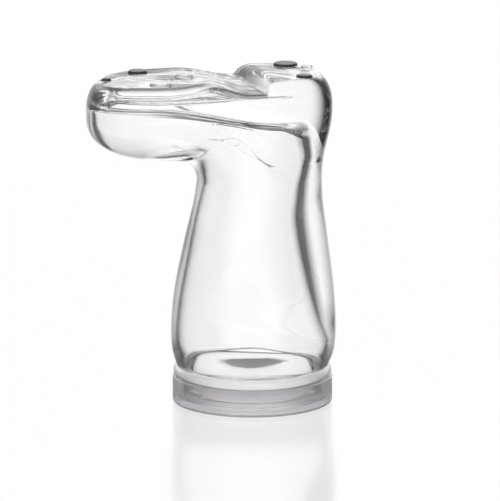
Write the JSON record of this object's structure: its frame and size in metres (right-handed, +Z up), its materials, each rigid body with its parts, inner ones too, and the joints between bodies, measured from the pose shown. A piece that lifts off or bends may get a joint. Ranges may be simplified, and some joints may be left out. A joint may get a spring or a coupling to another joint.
{
  "type": "boot-shaped glass vessel with push-in closure",
  "caption": "Small thick-walled clear glass boot standing upside down, its mouth pushed over a round clear stopper closure, with soft bumpers on sole and heel.",
  "frame": {"origin": "centre of the closure's flat underside, on the surface it stands on", "axes": "+Z up through the leg towards the sole; -X towards the toe and +X towards the heel; +Y across the foot"},
  "size_m": [0.0693, 0.0456, 0.0929],
  "materials": {
    "glass": "polished clear pressed glass",
    "clear_plastic": "glossy clear moulded plastic",
    "clear_silicone": "clear soft silicone, smooth"
  },
  "bodies": {
    "closure": {"closure_cup": "clear_plastic", "closure_plug": "clear_plastic", "rim_liner": "clear_silicone"},
    "seal": {"seal_ring": "clear_silicone"},
    "vessel": {"glass_vessel": "glass", "toe_bumper_1": "clear_silicone", "toe_bumper_2": "clear_silicone", "toe_bumper_3": "clear_silicone", "toe_bumper_4": "clear_silicone", "heel_bumper_1": "clear_silicone", "heel_bumper_2": "clear_silicone", "heel_bumper_3": "clear_silicone"}
  },
  "joints": [
    {"name": "vessel_turn", "type": "hinge", "parent": "closure", "child": "seal", "pos_m": [0, 0, 0.01], "axis": [0, 0, 1], "continuous": true},
    {"name": "vessel_lift", "type": "slide", "parent": "seal", "child": "vessel", "axis": [0, 0, 1], "range_m": [0, 0.04]}
  ]
}
